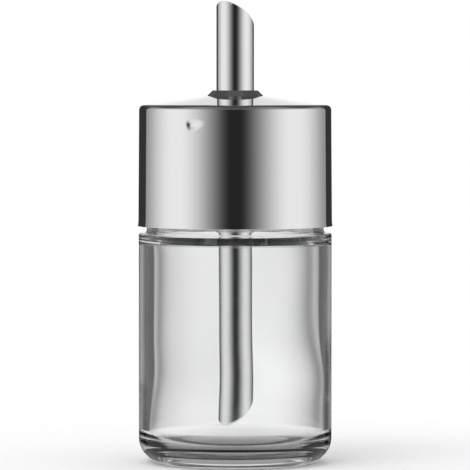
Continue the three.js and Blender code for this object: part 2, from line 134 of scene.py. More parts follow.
class LidSizes(bpy.types.PropertyGroup):
    """Sizes of the steel lid and of the tube that runs through it."""

    rim_height: length("Rim height", "Height of the lid's lower rim", 75.9)
    corner_height: length("Corner height", "Height of the edge between the side and the cone", 114.5)
    bottom_radius: length("Bottom radius", "Radius of the side at the rim", 31.02)
    top_radius: length("Top radius", "Radius of the side at the corner", 30.75)
    corner: length("Corner", "Rounding between the side and the cone", 1.5)
    flare: length("Flare", "How far the rim flares outwards", 0.17)
    wall: length("Wall", "Thickness of the sheet", 0.75)
    cone_slope: angle("Cone slope", "Slope of the cone on top", 7.75)
    lug_width: length("Lug width", "Width of a pressed lug", 6.5)
    lug_height: length("Lug height", "Height of a pressed lug", 3.2)
    lug_depth: length("Lug depth", "How far a lug stands out inside the lid", 1.45)
    dent_height: length("Dent height", "Height of the deepest point of a lug's dent outside", 108.8)
    dent_shift: length("Dent shift", "How far the deepest point lies to the left of the lug's middle", 1.2)
    dent_depth: length("Dent depth", "Depth of the dent outside", 0.46)
    dent_left: length("Dent, left", "Reach of the dent to the left", 1.7)
    dent_right: length("Dent, right", "Reach of the dent to the right", 5.2)
    dent_up: length("Dent, up", "Reach of the dent upwards", 1.7)
    dent_down: length("Dent, down", "Reach of the dent downwards", 2.7)
    spout_radius: length("Spout radius", "Outside radius of the spout tube", 6)
    dip_radius: length("Dip tube radius", "Outside radius of the dip tube", 5.35)
    tube_wall: length("Tube wall", "Wall thickness of both tubes", 0.5)
    spout_bottom: length("Spout bottom", "Height of the spout tube's lower end", 73.2)
    mouth_height: length("Mouth height", "Height of the mouth's plane on the axis", 142.94)
    dip_top: length("Dip tube top", "Height of the dip tube's upper end", 97.2)
    dip_cut: length("Dip tube cut", "Height of the lower cut on the axis", 17.45)
    mouth_slope: angle("Mouth slope", "Slope of the mouth's plane", 38.4)
    dip_slope: angle("Dip tube slope", "Slope of the lower cut", 41.6)
    mouth_azimuth: angle("Mouth azimuth", "Direction in which the mouth slopes down", 52)
    nut_width: length("Nut width", "Width of the nut across its flats", 20)


class FlapSizes(bpy.types.PropertyGroup):
    """Sizes of the flap and its hinge, measured in the plane of the mouth."""

    flap_length: length("Flap length", "Length of the oval plate down the slope", 12.746)
    flap_width: length("Flap width", "Width of the oval plate", 10.3)
    flap_middle: length("Flap middle", "How far down the slope the oval's middle lies from the axis", 0.175)
    flap_thickness: length("Flap thickness", "Thickness of the plate", 0.45)
    flap_recess: length("Flap recess", "How far the closed plate lies below the mouth's edge", 0.2)
    tongue_width: length("Tongue width", "Width of the tongue", 3.2)
    tongue_length: length("Tongue length", "Length of the tongue from the pin to the plate", 1.2)
    pin_along: length("Pin place", "Place of the pin down the slope from the axis", -4.375)
    pin_below: length("Pin depth", "Depth of the pin below the mouth's edge", 1)
    pin_radius: length("Pin radius", "Radius of the pin", 0.4)
    pin_length: length("Pin length", "Length of the pin", 4.8)
    ear_thickness: length("Ear thickness", "Thickness of the bracket's ears", 0.6)
    bracket_depth: length("Bracket depth", "Depth of the bracket's floor below the mouth's edge", 2.9)


class Colours(bpy.types.PropertyGroup):
    """Colours of the materials."""

    glass: colour("Glass", "Tint of the clear glass", 0.985, 0.99, 0.988)
    polished: colour("Polished steel", "Reflected colour of the polished steel", 0.88, 0.88, 0.885)
    plain: colour("Plain steel", "Reflected colour of the turned and stamped steel", 0.62, 0.62, 0.63)
    silicone: colour("Silicone", "Colour of the gasket and the washer", 0.82, 0.82, 0.8)
    plastic: colour("Plastic", "Colour of the sealing disc", 0.12, 0.12, 0.123)
    floor: colour("Floor", "Colour of the pale floor", 0.97, 0.97, 0.97)


# Shader maths


class Value:
    """A socket that does arithmetic: each operator adds a Math node."""

    def __init__(self, graph, socket):
        self.graph = graph
        self.socket = socket

    def math(self, operation, other=0.0):
        return self.graph.add("Math", {"operation": operation}, {0: self, 1: other})

    def __add__(self, other):
        return self.math("ADD", other)

    __radd__ = __add__

    def __mul__(self, other):
        return self.math("MULTIPLY", other)

    __rmul__ = __mul__

    def __sub__(self, other):
        return self.math("SUBTRACT", other)

    def __rsub__(self, other):
        return self.graph.add("Math", {"operation": "SUBTRACT"}, {0: other, 1: self})

    def __truediv__(self, other):
        return self.math("DIVIDE", other)

    def __abs__(self):
        return self.math("ABSOLUTE")


class Graph:
    """Builds the nodes of a material or of the world."""

    def __init__(self, tree):
        self.tree = tree
        tree.nodes.clear()

    def add(self, kind, settings=None, values=None, output=0):
        """Adds a node: its settings come first, then the values or links of its sockets."""
        node = self.tree.nodes.new("ShaderNode" + kind)
        for name, setting in (settings or {}).items():
            setattr(node, name, setting)
        for name, value in (values or {}).items():
            if isinstance(value, Value):
                self.tree.links.new(value.socket, node.inputs[name])
            else:
                node.inputs[name].default_value = value
        return Value(self, node.outputs[output]) if node.outputs else node

    def smooth(self, value, low, high):
        """0 at low, 1 at high and eased in between."""
        return self.add("MapRange", {"interpolation_type": "SMOOTHSTEP"},
                        {"Value": value, "From Min": low, "From Max": high})

    def between(self, first, second, share):
        """A number that passes from one to another."""
        return first + (second - first) * share

    def split(self, vector):
        """The three numbers of a vector."""
        return [self.add("SeparateXYZ", values={"Vector": vector}, output=number) for number in range(3)]

    def noise(self, point, scale, detail):
        """Noise of so many grains to the metre."""
        return self.add("TexNoise", values={"Vector": point, "Scale": scale, "Detail": detail})

    def bump(self, height, strength, distance):
        """A bump whose full height is a distance."""
        return self.add("Bump", values={"Height": height, "Strength": strength, "Distance": distance})

    def path(self, *names):
        """Facts or depths of the light's path, each 0 or, from the first bounce of its kind on, 1."""
        return [self.add("LightPath", output=name).math("MINIMUM", 1.0) for name in names]

    def blend(self, share, first, second):
        """One colour passing into another."""
        return self.add("Mix", {"data_type": "RGBA"}, {0: share, 6: first, 7: second}, output=2)

    def finish(self, kind, shader):
        """Links the shader to the output of a material or of the world."""
        self.add("Output" + kind, values={"Surface": shader})


BLACK = (0, 0, 0, 1)


def paint(name):
    """One of the scene's colours, as a socket takes it."""
    return (*getattr(bpy.context.scene.dispenser_colours, name), 1)


def new_material(name):
    """A new material with its graph and the point that its patterns are worked out from."""
    material = bpy.data.materials.new(name)
    material.use_nodes = True
    graph = Graph(material.node_tree)
    return material, graph, graph.add("TexCoord", output=3)


# Each finish returns the values and links of its shader's sockets


def polished(graph, point, roughness, pitch, strength):
    """Bare steel with fine rings round the axis, as polishing or turning leaves them."""
    x, y, z = graph.split(point)
    rings = graph.add("CombineXYZ", values={"X": (x * x + y * y).math("SQRT"), "Z": z})
    skin = graph.bump(graph.noise(rings, 1 / pitch, 3.0), strength, 0.02 * MM)
    return {"Base Color": paint("polished"), "Metallic": 1.0, "Roughness": roughness, "Normal": skin}


def pressed_glass(graph, point):
    """Clear glass: clean, with faint waves in its skin and a scuffed ring where it stands."""
    waves = graph.bump(graph.noise(point, 45.0, 0.0), 0.1, 0.6 * MM)
    foot = 1 - graph.smooth(graph.split(point)[2], 0.0, 0.25 * MM)
    scuffs = foot * graph.smooth(graph.noise(point, 1400.0, 2.0), 0.45, 0.6)
    return {"Base Color": paint("glass"), "Roughness": scuffs * 0.3, "IOR": 1.5, "Transmission Weight": 1.0,
            "Normal": waves}


def mirror_steel(graph, point):
    """Mirror-polished stainless steel with the faintest trace of its polishing."""
    return polished(graph, point, 0.02 + 0.03 * graph.noise(point, 60.0, 4.0), 0.8 * MM, 0.02)


def drawn_steel(graph, point):
    """Drawn tube, polished less than the lid, with faint lines along it."""
    lines = graph.add("Mapping", values={"Vector": point, "Scale": (1, 1, 0.02)})
    skin = graph.bump(graph.noise(lines, 2500.0, 3.0), 0.03, 0.02 * MM)
    haze = graph.noise(point, 90.0, 4.0)
    return {"Base Color": paint("polished"), "Metallic": 1.0, "Roughness": 0.1 + 0.05 * haze, "Normal": skin}


def satin_steel(graph, point):
    """Turned or stamped stainless steel with a satin finish."""
    blotch = graph.noise(point, 350.0, 4.0)
    skin = polished(graph, point, 0.22 + 0.16 * blotch, 0.2 * MM, 0.25)
    return {**skin, "Base Color": graph.blend(blotch * 0.2, paint("plain"), BLACK)}


def cloudy_silicone(graph, point):
    """Translucent white silicone with a dry, matt skin."""
    dust = graph.noise(point, 900.0, 5.0)
    return {"Base Color": paint("silicone"), "Roughness": 0.45 + 0.2 * dust, "Subsurface Weight": 0.35,
            "Subsurface Scale": 2 * MM, "Normal": graph.bump(dust, 0.3, 0.04 * MM)}


def moulded_plastic(graph, point):
    """Dark grey plastic with a fine spark-eroded grain, paler where it is rubbed."""
    grain = graph.add("TexVoronoi", values={"Vector": point, "Scale": 3500.0})
    rub = graph.noise(point, 160.0, 6.0)
    shade = paint("plastic")
    rubbed = [level + 0.05 for level in shade[:3]] + [1]
    return {"Base Color": graph.blend(graph.smooth(rub, 0.5, 0.75) * 0.35, shade, rubbed),
            "Roughness": 0.38 + 0.2 * rub, "Normal": graph.bump(grain, 0.25, 0.03 * MM)}


FINISHES = {
    "clear_glass": pressed_glass,
    "polished_steel": mirror_steel,
    "plain_steel": satin_steel,
    "silicone": cloudy_silicone,
    "dark_plastic": moulded_plastic,
}


def finish_of(slot, make=None):
    """The material of a slot, or another finish of it, made the first time that a piece asks for it."""
    make = make or FINISHES[slot]
    material = bpy.data.materials.get(make.__name__)
    if not material:
        material, graph, point = new_material(make.__name__)
        graph.finish("Material", graph.add("BsdfPrincipled", values=make(graph, point)))
    return material


# Modelling


def only(kind, parts):
    """The parts of one kind, such as the vertices."""
    return [part for part in parts if isinstance(part, kind)]


def sliced(bm, point, normal, **cleared):
    """Cuts a mesh by a plane, clears a side of it if asked, and returns the edges of the cut."""
    cut = bmesh.ops.bisect_plane(bm, geom=bm.verts[:] + bm.edges[:] + bm.faces[:], dist=MERGE, plane_co=point,
                                 plane_no=normal, **cleared)
    return only(bmesh.types.BMEdge, cut["geom_cut"])


def rounded(bm, parts, size, segments=3, affect="EDGES", clamped=False):
    """Rounds edges or vertices; the size is the length that is cut back on each side."""
    bmesh.ops.bevel(bm, geom=parts, offset=size, offset_type="OFFSET", segments=segments, profile=0.5,
                    affect=affect, clamp_overlap=clamped, material=-1)


def outward(bm):
    """Splits the faces that have more than four corners and points all faces outwards."""
    bmesh.ops.triangulate(bm, faces=[face for face in bm.faces if len(face.verts) > 4])
    bmesh.ops.recalc_face_normals(bm, faces=bm.faces[:])
    return bm


def outlined(corners, closed, segments):
    """A wire in the XZ plane through (radius, height, rounding) corners."""
    bm = bmesh.new()
    verts = [bm.verts.new((radius, 0, height)) for radius, height, _ in corners]
    for pair in zip(verts, verts[1:]):
        bm.edges.new(pair)
    if closed:
        bm.edges.new((verts[-1], verts[0]))
    for vert, (_, _, rounding) in zip(verts, corners):
        if rounding:
            rounded(bm, [vert], rounding, segments, "VERTICES")
    return bm


def divided(bm, pitch, fine_pitch=0, band=(0, 0)):
    """Cuts the long edges of a wire, more finely where an edge's middle lies in a band of heights."""
    for edge in bm.edges[:]:
        middle = (edge.verts[0].co.z + edge.verts[1].co.z) / 2
        cuts = int(edge.calc_length() / (fine_pitch if band[0] < middle < band[1] else pitch))
        if cuts:
            bmesh.ops.subdivide_edges(bm, edges=[edge], cuts=cuts)
    return bm


def swept(bm, geom, sweep, steps):
    """Turns a wire part of the way round the axis and returns its last place."""
    return bmesh.ops.spin(bm, geom=geom, cent=(0, 0, 0), axis=AXIS, dvec=(0, 0, 0), angle=sweep, steps=steps,
                          use_merge=False, use_normal_flip=False, use_duplicate=False)["geom_last"]


def repeated(bm, count):
    """Repeats a sector round the axis and joins it into a closed skin whose faces point outwards."""
    sector = bm.verts[:] + bm.edges[:] + bm.faces[:]
    for number in range(1, count):
        copy = bmesh.ops.duplicate(bm, geom=sector)["geom"]
        bmesh.ops.rotate(bm, verts=only(bmesh.types.BMVert, copy), cent=(0, 0, 0),
                         matrix=Matrix.Rotation(2 * math.pi * number / count, 3, "Z"))
    bmesh.ops.remove_doubles(bm, verts=bm.verts[:], dist=MERGE)
    bmesh.ops.recalc_face_normals(bm, faces=bm.faces[:])
    return bm


def spun(bm, steps):
    """Turns a wire once round the axis, as equal sectors."""
    swept(bm, bm.verts[:] + bm.edges[:], 2 * math.pi / SECTORS, steps // SECTORS)
    return repeated(bm, SECTORS)


def placed(bm, name, material):
    """An object of the scene that has the mesh and one material."""
    mesh = bpy.data.meshes.new(name)
    bm.to_mesh(mesh)
    bm.free()
    mesh.materials.append(material)
    made = bpy.data.objects.new(name, mesh)
    bpy.context.scene.collection.objects.link(made)
    return made


def piece(bm, name, node, body, slot, make=None):
    """Makes the mesh a piece of the object that stands for a CAD node, rides on a body and has a finish."""
    made = placed(bm, name, finish_of(slot, make))
    for polygon in made.data.polygons:
        polygon.use_smooth = True
    made.modifiers.new("even_shading", "WEIGHTED_NORMAL")
    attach(made, body)
    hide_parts(node)


def slanted(height, slope, azimuth):
    """A point on a slanted plane and its normal: the plane slopes down towards the azimuth."""
    normal = Vector((math.sin(slope), 0, math.cos(slope)))
    return Vector((0, 0, height)), Matrix.Rotation(azimuth, 3, "Z") @ normal


def stepped(value):
    """0 below -0.5, 1 above 0.5 and straight in between."""
    return min(1, max(0, value + 0.5))


def turned_from(vert, azimuth):
    """The angle round the axis from an azimuth to a vertex."""
    return math.remainder(math.atan2(vert.co.y, vert.co.x) - azimuth, 2 * math.pi)


# Lengths over which the ends of the rib and its stops slope, and how far below the rib the neck is shaped
RIB_SLOPE = 0.6 * MM
STOP_SLOPE = 0.5 * MM
BELOW_RIB = 4 * MM


def shape_neck(bm, sizes):
    """Opens the rib for the lugs and raises a stop beside each place where a lug locks."""
    neck, rib_bottom = sizes.neck_radius, sizes.rib_top - sizes.rib_height
    for vert in bm.verts:
        reach = math.hypot(vert.co.x, vert.co.y)
        if reach < neck - MERGE or vert.co.z < rib_bottom - BELOW_RIB:
            continue
        for azimuth in LUG_AZIMUTHS:
            from_gap = abs(turned_from(vert, azimuth)) * neck
            from_stop = abs(turned_from(vert, azimuth - sizes.stop_turn)) * neck
            opened = stepped((sizes.rib_gap / 2 - from_gap) / RIB_SLOPE)
            raised = stepped((sizes.stop_width / 2 - from_stop) / STOP_SLOPE) * (vert.co.z < rib_bottom + MERGE)
            raised *= stepped((vert.co.z - rib_bottom + sizes.stop_height) / STOP_SLOPE)
            wanted = max(reach - (reach - neck) * opened, neck + sizes.stop_proud * raised)
            vert.co.xy *= wanted / reach
            reach = wanted


# Waves of the hollow's wall to the metre, how far they are drawn out upwards, and where they fade and end
WAVES = 60
WAVE_DRAW = 0.5
WAVE_FADE = 8 * MM
WALL_MARGIN = 0.3 * MM
# Middle and reach of the swell to the right
SWELL_HEIGHT = 29 * MM
SWELL_REACH = 9 * MM


def wave_hollow(bm, sizes):
    """Waves the hollow's wall and shifts it to the right, as pressing leaves it."""
    bore = sizes.radius - sizes.lower_wall
    for vert in bm.verts:
        reach = math.hypot(vert.co.x, vert.co.y)
        hollow = reach < bore + WALL_MARGIN and sizes.floor - MERGE < vert.co.z < sizes.shoulder_height
        if hollow and reach > MERGE:
            share = min(1, (sizes.shoulder_height - vert.co.z) / WAVE_FADE) * reach / bore
            place = Vector((vert.co.x, vert.co.y, vert.co.z * WAVE_DRAW)) * WAVES
            swell = math.exp(-((vert.co.z - SWELL_HEIGHT) / SWELL_REACH) ** 2)
            vert.co.xy *= 1 + sizes.wave * share * noise.noise(place) / reach
            vert.co.x += (sizes.inner_shift + sizes.swell_shift * swell) * share


# Share of the base corner's reach at which its rounding starts
BASE_CHAMFER_SHARE = 0.63
# Roundings of the jar's edges, from the push-up round the outside to the floor inside
PUSH_UP_EDGE = 0.5 * MM
STAND_EDGE = 0.4 * MM
RIB_ROOT = 0.25 * MM
RIB_LOWER_EDGE = 0.3 * MM
RIB_UPPER_EDGE = 0.4 * MM
LIP_OUTER_EDGE = 0.2 * MM
LIP_INNER_EDGE = 0.5 * MM
NECK_BORE_EDGE = 0.3 * MM
INNER_SHOULDER_EDGE = 0.5 * MM
TAPER_EDGE = 6 * MM
# Where the neck's bore ends above the shoulder, where it has widened below it, and the taper's inset
BORE_END = 0.3 * MM
INNER_SHOULDER_DROP = 3.5 * MM
TAPER_INSET = 0.2 * MM
# Lengths of the profile's edges, in general and at the rib and its stops
JAR_PITCH = 1.6 * MM
NECK_PITCH = 0.45 * MM
STOPS_BAND = 3 * MM


def jar_mesh(sizes):
    """The jar in one skin: foot, side, shoulder, neck and lip outside, then the hollow inside."""
    ring_radius = sizes.radius - sizes.base_corner
    chamfer = sizes.base_corner * BASE_CHAMFER_SHARE
    neck_bore = sizes.neck_radius - sizes.neck_wall
    upper_bore = sizes.radius - sizes.upper_wall
    lower_bore = sizes.radius - sizes.lower_wall
    rib_bottom = sizes.rib_top - sizes.rib_height
    corners = [
        (0, sizes.push_up, 0),
        (ring_radius - sizes.stand_ring - sizes.push_up, sizes.push_up, PUSH_UP_EDGE),
        (ring_radius - sizes.stand_ring, 0, STAND_EDGE),
        (sizes.radius - chamfer, 0, sizes.base_corner - chamfer),
        (sizes.radius, chamfer, sizes.base_corner - chamfer),
        (sizes.radius, sizes.shoulder_height, sizes.shoulder_corner),
        (sizes.neck_radius, sizes.shoulder_height, sizes.neck_fillet),
        (sizes.neck_radius, rib_bottom, RIB_ROOT),
        (sizes.neck_radius + sizes.rib_proud, rib_bottom, RIB_LOWER_EDGE),
        (sizes.neck_radius + sizes.rib_proud, sizes.rib_top, RIB_UPPER_EDGE),
        (sizes.neck_radius, sizes.lip_height, LIP_OUTER_EDGE),
        (neck_bore, sizes.lip_height, LIP_INNER_EDGE),
        (neck_bore, sizes.shoulder_height + BORE_END, NECK_BORE_EDGE),
        (upper_bore, sizes.shoulder_height - INNER_SHOULDER_DROP, INNER_SHOULDER_EDGE),
        (upper_bore, sizes.taper_top, TAPER_EDGE),
        (lower_bore - TAPER_INSET, sizes.taper_bottom, TAPER_EDGE),
        (lower_bore, sizes.floor, sizes.floor_corner),
        (0, sizes.floor, 0),
    ]
    wire = divided(outlined(corners, False, 10), JAR_PITCH, NECK_PITCH, (rib_bottom - STOPS_BAND, sizes.rib_top))
    bm = spun(wire, JAR_STEPS)
    shape_neck(bm, sizes)
    wave_hollow(bm, sizes)
    return bm


class DISPENSER_OT_jar(bpy.types.Operator):
    """Build the thick glass jar with its waved inner wall"""

    bl_idname = "dispenser.jar"
    bl_label = "Glass Jar"

    def execute(self, context):
        bm = jar_mesh(context.scene.dispenser_jar)
        piece(bm, "jar_of_glass", "glass_jar", "jar", "clear_glass")
        return {"FINISHED"}


def oval_dent(along, up, left, right, down, top, depth):
    """How deep a soft oval dent is at a place that lies so far along and up from its deepest point."""
    across = along * math.cos(LUG_TILT) + up * math.sin(LUG_TILT)
    rise = up * math.cos(LUG_TILT) - along * math.sin(LUG_TILT)
    ring = math.hypot(across / (left if across < 0 else right), rise / (down if rise < 0 else top))
    return depth * (1 + math.cos(math.pi * min(ring, 1))) / 2


def pressed_lugs(verts, dent):
    """Pushes vertices towards the axis at each lug; dent gives how far, from the way along and the height."""
    for vert in verts:
        reach = math.hypot(vert.co.x, vert.co.y)
        for azimuth in LUG_AZIMUTHS:
            off = turned_from(vert, azimuth)
            if abs(off) < LUG_SECTOR / 2:
                vert.co.xy *= 1 - dent(off * reach, vert.co.z) / reach


# Radius of the hole for the ferrule
LID_HOLE = 8 * MM
# Height of the flare at the rim, how far the side tapers over it, and the rounding above it
FLARE_HEIGHT = 1 * MM
FLARE_TAPER = 0.007 * MM
FLARE_EDGE = 0.95 * MM
# Lengths of the profile's edges, in general and at the lugs
LID_PITCH = 1.5 * MM
LUG_PITCH = 0.15 * MM


def lid_mesh(sizes):
    """The lid's outer skin is turned in sectors, finer round the lugs, then dented and given its wall."""
    rise = math.tan(sizes.cone_slope)
    wire = outlined([
        (sizes.bottom_radius + sizes.flare, sizes.rim_height, 0),
        (sizes.bottom_radius - FLARE_TAPER, sizes.rim_height + FLARE_HEIGHT, FLARE_EDGE),
        (sizes.top_radius, sizes.corner_height, sizes.corner),
        (LID_HOLE, sizes.corner_height + (sizes.top_radius - LID_HOLE) * rise, 0),
    ], False, 10)
    band = (LUG_HEIGHT - LUG_BAND, LUG_HEIGHT + LUG_BAND)
    for height in band:
        sliced(wire, (0, 0, height), AXIS)
    divided(wire, LID_PITCH, LUG_PITCH, band)
    start = LUG_AZIMUTHS[0] - LUG_SECTOR / 2
    bmesh.ops.rotate(wire, verts=wire.verts[:], cent=(0, 0, 0), matrix=Matrix.Rotation(start, 3, "Z"))
    lugs = len(LUG_AZIMUTHS)
    front = swept(wire, wire.verts[:] + wire.edges[:], LUG_SECTOR, LUG_STEPS)
    swept(wire, front, 2 * math.pi / lugs - LUG_SECTOR, PLAIN_STEPS)
    repeated(wire, lugs)
    outside = set(wire.verts)
    bmesh.ops.solidify(wire, geom=wire.faces[:], thickness=sizes.wall)
    inside = [vert for vert in wire.verts if vert not in outside]
    pressed_lugs(outside, lambda along, height: oval_dent(
        along + sizes.dent_shift, height - sizes.dent_height, sizes.dent_left, sizes.dent_right, sizes.dent_down,
        sizes.dent_up, sizes.dent_depth))
    half_width, half_height = sizes.lug_width / 2, sizes.lug_height / 2
    pressed_lugs(inside, lambda along, height: oval_dent(
        along, height - LUG_HEIGHT, half_width, half_width, half_height, half_height, sizes.lug_depth))
    return wire


class DISPENSER_OT_lid(bpy.types.Operator):
    """Build the polished lid with its cone, its flared rim and its pressed lugs"""

    bl_idname = "dispenser.lid"
    bl_label = "Steel Lid"

    def execute(self, context):
        bm = lid_mesh(context.scene.dispenser_lid)
        piece(bm, "steel_lid", "lid_shell", "lid", "polished_steel")
        return {"FINISHED"}


# Rounding of a tube's edges by its wall, length of its edges, and the least angle that is rounded
TUBE_EDGE_SHARE = 0.3
TUBE_PITCH = 4 * MM
SHARP = math.radians(30)


def tube_mesh(radius, wall, bottom, top, cut, keep_below):
    """A tube cut by a slanted plane, with the cut closed and its edges rounded."""
    bore = radius - wall
    edge = wall * TUBE_EDGE_SHARE
    corners = [(bore, bottom, edge), (radius, bottom, edge), (radius, top, edge), (bore, top, edge)]
    bm = spun(divided(outlined(corners, True, 3), TUBE_PITCH), TUBE_STEPS)
    point, normal = cut
    # A ring of edges beside the cut keeps the shading of the long faces straight
    sliced(bm, point - normal * wall if keep_below else point + normal * wall, normal)
    sliced(bm, point, normal, clear_outer=keep_below, clear_inner=not keep_below)
    rim = [side for side in bm.edges if side.is_boundary]
    closing = set(bmesh.ops.bridge_loops(bm, edges=rim)["faces"])
    sharp = [side for side in bm.edges
             if side.calc_face_angle(0) > SHARP and not closing.isdisjoint(side.link_faces)]
    rounded(bm, sharp, edge)
    bmesh.ops.recalc_face_normals(bm, faces=bm.faces[:])
    return bm


class DISPENSER_OT_tubes(bpy.types.Operator):
    """Build the spout tube with its slanted mouth and the dip tube pushed into it"""

    bl_idname = "dispenser.tubes"
    bl_label = "Spout and Dip Tube"

    def execute(self, context):
        sizes = context.scene.dispenser_lid
        mouth = slanted(sizes.mouth_height, sizes.mouth_slope, sizes.mouth_azimuth)
        spout = tube_mesh(sizes.spout_radius, sizes.tube_wall, sizes.spout_bottom,
                          sizes.mouth_height + 2 * sizes.spout_radius, mouth, True)
        piece(spout, "spout_pipe", "spout_tube", "lid", "polished_steel", drawn_steel)
        lower = slanted(sizes.dip_cut, -sizes.dip_slope, sizes.mouth_azimuth)
        dip = tube_mesh(sizes.dip_radius, sizes.tube_wall, 0, sizes.dip_top, lower, False)
        piece(dip, "dip_pipe", "dip_tube", "lid", "polished_steel", drawn_steel)
        return {"FINISHED"}


# Turned pieces as (radius, height, rounding) corners in millimetres
FERRULE = (
    (6.1, 106.52, 0.2), (7.9, 106.52, 0.3), (7.9, 117.4, 0), (9.05, 117.405, 0.08), (7.2, 119.255, 0.12),
    (6.1, 119.255, 0.3),
)
DISC = (
    (8.2, 112.524, 0.2), (12.6, 112.524, 0.3), (12.6, 114.124, 0.5), (23.5, 112.381, 1.2), (23.5, 107.0, 0.25),
    (24.9, 107.0, 0.5), (24.9, 112.2, 0.3), (29.25, 112.2, 0.2), (29.25, 112.56, 0.25), (28.75, 113.14, 0.25),
    (8.2, 116.424, 0.2),
)
GASKET = (
    (25.0, 110.8, 0.15), (28.55, 110.8, 0.3), (28.9, 111.15, 0.15), (28.6, 111.5, 0.15), (28.9, 111.85, 0.15),
    (28.55, 112.2, 0.3), (25.0, 112.2, 0.15),
)
WASHER = ((8.2, 111.524, 0.25), (11.8, 111.524, 0.3), (11.8, 112.524, 0.3), (8.2, 112.524, 0.25))
# Length of the disc's edges
DISC_PITCH = 3 * MM


def turned(corners, segments):
    """A closed wire through corners that are given in millimetres."""
    return outlined([tuple(size * MM for size in corner) for corner in corners], True, segments)


class DISPENSER_OT_ferrule(bpy.types.Operator):
    """Build the turned ferrule that holds the tube on the lid, and the nut that clamps it from below"""

    bl_idname = "dispenser.ferrule"
    bl_label = "Ferrule and Nut"

    def execute(self, context):
        piece(spun(turned(FERRULE, 5), TUBE_STEPS), "ferrule_ring", "tube_collar", "lid", "polished_steel")
        piece(nut_mesh(context.scene.dispenser_lid), "hexagon_nut", "clamp_nut", "lid", "plain_steel")
        return {"FINISHED"}


# The nut's ends, its bore, its chamfers and their roundings
NUT_BOTTOM = 107.524 * MM
NUT_TOP = 111.524 * MM
NUT_BORE = 8 * MM
NUT_CHAMFER = 0.3 * MM
NUT_CORNER_HEIGHT = 0.8 * MM
NUT_EDGE = 0.2 * MM
NUT_BORE_EDGE = 0.05 * MM
NUT_SIDES = 6


def nut_mesh(sizes):
    """A hexagon nut: a turned blank with its corners chamfered, cut flat at six sides."""
    half = sizes.nut_width / 2
    tip = half / math.cos(math.pi / NUT_SIDES)
    end = [(NUT_BORE, NUT_CHAMFER, 0), (NUT_BORE + NUT_CHAMFER, 0, NUT_BORE_EDGE), (half - NUT_EDGE, 0, NUT_EDGE),
           (tip, NUT_CORNER_HEIGHT, NUT_EDGE)]
    lower = [(radius, NUT_BOTTOM + height, rounding) for radius, height, rounding in end]
    upper = [(radius, NUT_TOP - height, rounding) for radius, height, rounding in reversed(end)]
    bm = spun(outlined(lower + upper, True, 3), TUBE_STEPS)
    for number in range(NUT_SIDES):
        side = Matrix.Rotation(math.pi * (2 * number + 1) / NUT_SIDES, 3, "Z") @ Vector((1, 0, 0))
        bmesh.ops.contextual_create(bm, geom=sliced(bm, side * half, side, clear_outer=True))
    return outward(bm)


class DISPENSER_OT_seals(bpy.types.Operator):
    """Build the sealing disc under the lid, the silicone gasket on the lip and the washer over the nut"""

    bl_idname = "dispenser.seals"
    bl_label = "Disc, Gasket and Washer"

    def execute(self, context):
        disc = spun(divided(turned(DISC, 4), DISC_PITCH), RING_STEPS)
        piece(disc, "plastic_disc", "sealing_disc", "lid", "dark_plastic")
        piece(spun(turned(GASKET, 4), RING_STEPS), "silicone_gasket", "lid_gasket", "gasket", "silicone")
        piece(spun(turned(WASHER, 4), TUBE_STEPS), "silicone_washer", "nut_washer", "lid", "silicone")
        return {"FINISHED"}


def joined(parts):
    """Several meshes as one."""
    first, *others = parts
    for part in others:
        mesh = bpy.data.meshes.new("part")
        part.to_mesh(mesh)
        part.free()
        first.from_mesh(mesh)
        bpy.data.meshes.remove(mesh)
    return first


def extruded(bm, depth, rounding):
    """Gives a flat face depth along Y, with rounded edges round both of its ends."""
    bmesh.ops.translate(bm, verts=bm.verts[:], vec=(0, -depth / 2, 0))
    top = bmesh.ops.extrude_face_region(bm, geom=bm.faces[:])["geom"]
    bmesh.ops.translate(bm, verts=only(bmesh.types.BMVert, top), vec=(0, depth, 0))
    bmesh.ops.recalc_face_normals(bm, faces=bm.faces[:])
    ends = [edge for edge in bm.edges if abs(edge.verts[0].co.y - edge.verts[1].co.y) < MERGE]
    rounded(bm, ends, rounding, clamped=True)
    return outward(bm)


def profile(corners):
    """A flat face in the XZ plane with rounded corners."""
    bm = outlined(corners, True, 4)
    bmesh.ops.contextual_create(bm, geom=bm.edges[:])
    return bm


def hinge_bar(sizes, corners):
    """A turned bar that lies along the hinge's pin."""
    bm = spun(outlined(corners, corners[0][0] > 0, 3), PIN_STEPS)
    turn = Matrix.Rotation(math.pi / 2, 4, "X")
    bmesh.ops.transform(bm, matrix=Matrix.Translation((sizes.pin_along, 0, -sizes.pin_below)) @ turn,
                        verts=bm.verts[:])
    bmesh.ops.recalc_face_normals(bm, faces=bm.faces[:])
    return bm


# Roundings of the plate, the knuckle's bore, the pin's ends and the other edges of flap and bracket
PLATE_EDGE = 0.12 * MM
BORE_EDGE = 0.06 * MM
PIN_EDGE = 0.15 * MM
SHEET_EDGE = 0.08 * MM
# The gap round the pin, under the closed flap and between the bracket and the spout's bore
RUNNING_GAP = 0.1 * MM
# How far the tongue reaches into the plate, and how much thinner its end is there
TONGUE_OVERLAP = 0.6 * MM
TONGUE_INSET = 0.02 * MM


